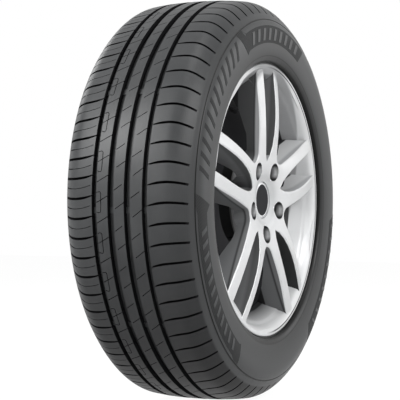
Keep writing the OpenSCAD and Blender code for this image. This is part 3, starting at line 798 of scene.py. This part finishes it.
def makeWearBars():    # low bars across the long grooves
    s, w = treadSizes, wearPlan
    crown = crownProfile(tyreSizes)
    bm = bmesh.new()
    for side in (-1, 1):
        for place, width, depth in (s["midGroove"], s["sideGroove"]):
            floor = heightAt(crown, place) - depth
            size = (w["length"], width + w["overlap"], w["height"] + w["sunk"])
            middle = (0, side * place, floor + (w["height"] - w["sunk"]) / 2)
            for i in range(w["count"]):
                cube = bmesh.ops.create_cube(bm, size=1)["verts"]
                bmesh.ops.scale(bm, vec=size, verts=cube)
                bmesh.ops.translate(bm, vec=middle, verts=cube)
                turn = math.radians(w["firstAt"] - 90 + 360 / w["count"] * i)
                bmesh.ops.rotate(bm, matrix=Matrix.Rotation(-turn, 3, "Y"), cent=(0, 0, 0), verts=cube)
    piece = newPiece("wearBars", bm, [rubber])
    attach(piece, "root")


makeWearBars()
print("relief made")


# Wheel: a merged copy of the cast piece, its blades crowned towards the gap between them

wheelShape = {    # leans are shares of a face's normal that turn towards the axle, the car or upwards
    "blades": 5, "spokeHalf": 41, "gapHalf": 29, "faceY": -86, "faceLean": 0.34, "upperLean": 0.5,
    "crown": 3.9, "crownLevel": 0.55, "crownLimit": 1.1, "crownFrom": 62, "crownFull": 95,
    "crownEnd": 205, "crownStop": 213, "barrelFrom": -57.5, "barrelTo": 57, "barrelR": 150,
    "rearY": -84, "rearLean": 0.3, "coneR": 178, "coneLean": 0.45, "hubR": 40,
    "boltR": 56, "pocketR": 15.2, "pocketY": -103.3, "merge": 0.004, "crease": 40,
}


def crownBlades(bm, w):    # moves the blades' faces out near the gap and in at their outer edges
    for v in bm.verts:
        x, y, z = (c / mm for c in v.co)
        r = math.hypot(x, z)
        if y > w["faceY"] or not w["crownFrom"] < r < w["crownStop"]:
            continue
        turn = math.atan2(z, x) - math.pi / 2
        step = 2 * math.pi / w["blades"]
        across = abs(r * math.sin(turn - step * round(turn / step)))
        grow = min(1, (r - w["crownFrom"]) / (w["crownFull"] - w["crownFrom"]))
        fade = min(1, (w["crownStop"] - r) / (w["crownStop"] - w["crownEnd"]))
        level = w["crownLevel"] - min(w["crownLimit"], across / w["spokeHalf"]) ** 2
        v.co.y -= w["crown"] * level * grow * fade * mm


def finishOf(face, w):    # place in wheelFinishes, by where the face lies and how it turns
    middle = face.calc_center_median() / mm
    r = math.hypot(middle.x, middle.z)
    inwards = -(face.normal.x * middle.x + face.normal.z * middle.z) / max(r, 1)
    # faces behind the dish take painted shade: the shaded flank near the hub, the nearly black barrel further
    # out; the rear flange's outward faces keep the lacquer
    if middle.y > w["barrelFrom"]:
        if r < w["barrelR"]:
            return shadedFlank
        return barrel if middle.y < w["barrelTo"] or inwards > w["rearLean"] else lacquer
    # faces turned to the back take the shaded flank, painted shade
    if middle.y > w["rearY"] and face.normal.y > w["rearLean"] and r < w["barrelR"]:
        return shadedFlank
    for i in range(w["blades"]):
        turn = math.radians(-90 + 360 / w["blades"] * i)
        away = math.hypot(middle.x - w["boltR"] * math.cos(turn), middle.z - w["boltR"] * math.sin(turn))
        if away < w["pocketR"] and middle.y > w["pocketY"]:
            return boltPocket
    onCone = r > w["coneR"] and inwards > w["coneLean"]
    if abs(face.normal.y) > w["faceLean"] or r < w["hubR"] or onCone:
        return lacquer
    # flanks facing up on the right take the copy with painted light; the others take shaded copies, darker in
    # the gap between twin blades
    if face.normal.z > w["upperLean"] and middle.x > 0:
        return litUpperFlank
    step = 2 * math.pi / w["blades"]
    turn = (math.atan2(middle.z, middle.x) - math.pi / 2 + step / 2) % step - step / 2
    return shadedGapFlank if abs(r * math.sin(turn)) < w["gapHalf"] else shadedFlank


def makeWheel():
    w = wheelShape
    bm = bmesh.new()
    bm.from_mesh(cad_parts["alloy_wheel"].data)
    bmesh.ops.remove_doubles(bm, verts=bm.verts, dist=w["merge"] * mm)
    for y in (w["barrelFrom"], w["barrelTo"]):
        bmesh.ops.bisect_plane(bm, geom=allOf(bm), plane_co=(0, y * mm, 0), plane_no=(0, 1, 0))
    for face in bm.faces:
        face.material_index = finishOf(face, w)
    crownBlades(bm, w)
    piece = newPiece("wheelDressed", bm, wheelFinishes, w["crease"], toMetres=False)
    even = piece.modifiers.new("evenShading", "WEIGHTED_NORMAL")
    even.keep_sharp = True
    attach(piece, "root")
    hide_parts("alloy_wheel")


makeWheel()


def dressNode(node, material):    # gives a frame piece its finish
    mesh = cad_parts[node].data
    mesh.materials.clear()
    mesh.materials.append(material)


dressNode("centre_cap", capLacquer)
dressNode("cap_inlay", smallMaterial("darkInlay"))
dressNode("valve_stem", smallMaterial("valveRubber"))
dressNode("valve_core", smallMaterial("turnedBrass"))
dressNode("valve_cap", smallMaterial("blackPlastic"))
print("wheel made")


# Floor, light and camera

lightPlan = {
    "world": 0.18, "background": 1.0, "floorSize": 5, "floorTone": 0.9, "floorRough": 0.8, "floorGap": 0.5,
    "floorGlow": 1.06, "glowShare": 0.9,
    "lamps": {    # azimuth and elevation of the lamp, its distance in metres, size and power
        "treadLamp": (-121, 30, 2.6, 1.1, 100),
        "streetLamp": (-16, 32, 2.8, 1.1, 60),
        "rightLamp": (50, 14, 2.8, 1.1, 9),
        "topLamp": (-30, 72, 2.5, 1.0, 20),
        "rimLamp": (155, 28, 2.8, 1.1, 12),
    },
}


def seenRays(tree, rays):    # 1 for camera, glossy and transmission rays
    first = addNode(tree, "ShaderNodeMath", operation="MAXIMUM")
    second = addNode(tree, "ShaderNodeMath", operation="MAXIMUM")
    tree.links.new(rays.outputs["Is Camera Ray"], first.inputs[0])
    tree.links.new(rays.outputs["Is Glossy Ray"], first.inputs[1])
    tree.links.new(first.outputs["Value"], second.inputs[0])
    tree.links.new(rays.outputs["Is Transmission Ray"], second.inputs[1])
    return second.outputs["Value"]


def makeFloor():    # white where it is seen, with the tyre's shadow left on it
    plan = lightPlan
    bm = bmesh.new()
    bmesh.ops.create_grid(bm, x_segments=1, y_segments=1, size=plan["floorSize"])
    bmesh.ops.translate(bm, vec=(0, 0, cadBounds[0].z - plan["floorGap"] * mm), verts=bm.verts)
    material, tree, shader = blankMaterial("paleFloor", [plan["floorTone"]] * 3, plan["floorRough"])
    glow = addNode(tree, "ShaderNodeEmission", Color=(1, 1, 1, 1), Strength=plan["floorGlow"])
    rays = addNode(tree, "ShaderNodeLightPath")
    share = addNode(tree, "ShaderNodeMath", operation="MULTIPLY")
    share.inputs[1].default_value = plan["glowShare"]
    blend = addNode(tree, "ShaderNodeMixShader")
    tree.links.new(seenRays(tree, rays), share.inputs[0])
    tree.links.new(share.outputs["Value"], blend.inputs["Fac"])
    tree.links.new(shader.outputs["BSDF"], blend.inputs[1])
    tree.links.new(glow.outputs["Emission"], blend.inputs[2])
    tree.links.new(blend.outputs["Shader"], tree.nodes["Material Output"].inputs["Surface"])
    floor = newPiece("floor", bm, [material], toMetres=False)


def makeWorld():
    world = bpy.data.worlds.new("studio")
    bpy.context.scene.world = world
    world.use_nodes = True
    tree = world.node_tree
    plain = tree.nodes["Background"]
    plain.inputs["Color"].default_value = (1, 1, 1, 1)
    plain.inputs["Strength"].default_value = lightPlan["world"]
    white = addNode(tree, "ShaderNodeBackground", Strength=lightPlan["background"])
    white.inputs["Color"].default_value = (1, 1, 1, 1)
    rays = addNode(tree, "ShaderNodeLightPath")
    blend = addNode(tree, "ShaderNodeMixShader")
    tree.links.new(seenRays(tree, rays), blend.inputs["Fac"])
    tree.links.new(plain.outputs["Background"], blend.inputs[1])
    tree.links.new(white.outputs["Background"], blend.inputs[2])
    tree.links.new(blend.outputs["Shader"], tree.nodes["World Output"].inputs["Surface"])


def directionOf(azimuth, elevation):    # from the wheel towards a lamp or the camera
    a, e = math.radians(azimuth), math.radians(elevation)
    return Vector((math.sin(a) * math.cos(e), -math.cos(a) * math.cos(e), math.sin(e)))


def makeLamps():
    for name, (azimuth, elevation, distance, size, power) in lightPlan["lamps"].items():
        lamp = bpy.data.lights.new(name, "AREA")
        lamp.shape = "DISK"
        lamp.size = size
        lamp.energy = power
        back = directionOf(azimuth, elevation)
        holder = bpy.data.objects.new(name, lamp)
        holder.location = back * distance
        holder.rotation_euler = (-back).to_track_quat("-Z", "Y").to_euler()
        bpy.context.scene.collection.objects.link(holder)


cameraPlan = {"azimuth": -65.36, "elevation": 0.0, "distance": 2.3459, "sensor": 36, "lens": 128.03,
              "shiftX": -0.0311}


def makeCamera():
    data = bpy.data.cameras.new("camera")
    data.sensor_width = cameraPlan["sensor"]
    data.lens = cameraPlan["lens"]
    data.shift_x = cameraPlan["shiftX"]
    back = directionOf(cameraPlan["azimuth"], cameraPlan["elevation"])
    camera = bpy.data.objects.new("camera", data)
    camera.location = back * cameraPlan["distance"]
    camera.rotation_euler = (-back).to_track_quat("-Z", "Y").to_euler()
    bpy.context.scene.collection.objects.link(camera)
    bpy.context.scene.camera = camera


makeFloor()
makeWorld()
makeLamps()
makeCamera()
bpy.context.scene.view_settings.view_transform = "Standard"
print("light and camera set")
